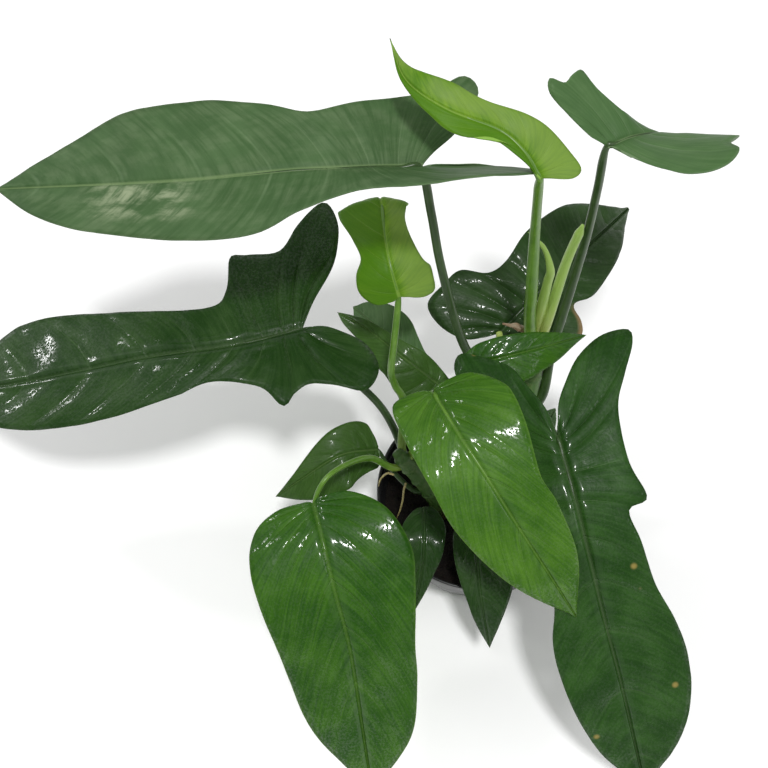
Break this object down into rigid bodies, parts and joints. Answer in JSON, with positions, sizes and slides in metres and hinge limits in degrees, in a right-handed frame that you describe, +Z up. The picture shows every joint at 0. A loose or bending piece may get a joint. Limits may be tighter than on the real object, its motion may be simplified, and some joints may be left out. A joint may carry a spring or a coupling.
{
  "type": "potted philodendron",
  "caption": "Philodendron with arrow-shaped leaves on long stalks, rooted by two stems in a round black nursery pot of soil.",
  "frame": {"origin": "centre of the pot's flat underside", "axes": "+Z up along the pot's axis, -Y towards the viewer, +X to the viewer's right"},
  "size_m": [0.551, 0.441, 0.431],
  "materials": {
    "old_leaf": "satin",
    "dark_leaf": "gloss",
    "fresh_leaf": "satin",
    "young_leaf": "satin",
    "dark_stalk": "satin",
    "fresh_stalk": "satin",
    "new_growth": "satin",
    "stem_bark": "matte",
    "dry_sheath": "matte",
    "air_root": "matte",
    "potting_soil": "matte",
    "black_plastic": "gloss"
  },
  "bodies": {
    "root": {"air_root_long": "air_root", "air_root_short": "air_root", "cut_stalk": "new_growth", "dry_sheath": "dry_sheath", "leaf_back": "dark_leaf", "leaf_back_pale": "old_leaf", "leaf_centre": "fresh_leaf", "leaf_front_left": "fresh_leaf", "leaf_left_horned": "dark_leaf", "leaf_left_small": "old_leaf", "leaf_left_young": "young_leaf", "leaf_low_centre": "dark_leaf", "leaf_low_left": "dark_leaf", "leaf_low_right": "old_leaf", "leaf_middle_dark": "dark_leaf", "leaf_right_horned": "dark_leaf", "leaf_right_small": "fresh_leaf", "leaf_top_left": "old_leaf", "leaf_top_right": "old_leaf", "leaf_top_young": "young_leaf", "pot": "black_plastic", "rolled_leaf": "new_growth", "sheath_point": "new_growth", "soil": "potting_soil", "stalk_back": "dark_stalk", "stalk_back_pale": "dark_stalk", "stalk_centre": "fresh_stalk", "stalk_front_left": "fresh_stalk", "stalk_left_horned": "dark_stalk", "stalk_left_small": "dark_stalk", "stalk_left_young": "fresh_stalk", "stalk_low_centre": "dark_stalk", "stalk_low_left": "dark_stalk", "stalk_low_right": "dark_stalk", "stalk_middle_dark": "dark_stalk", "stalk_right_horned": "dark_stalk", "stalk_right_small": "dark_stalk", "stalk_top_left": "dark_stalk", "stalk_top_right": "dark_stalk", "stalk_top_young": "fresh_stalk", "stem_left": "stem_bark", "stem_right": "stem_bark"}
  },
  "joints": []
}
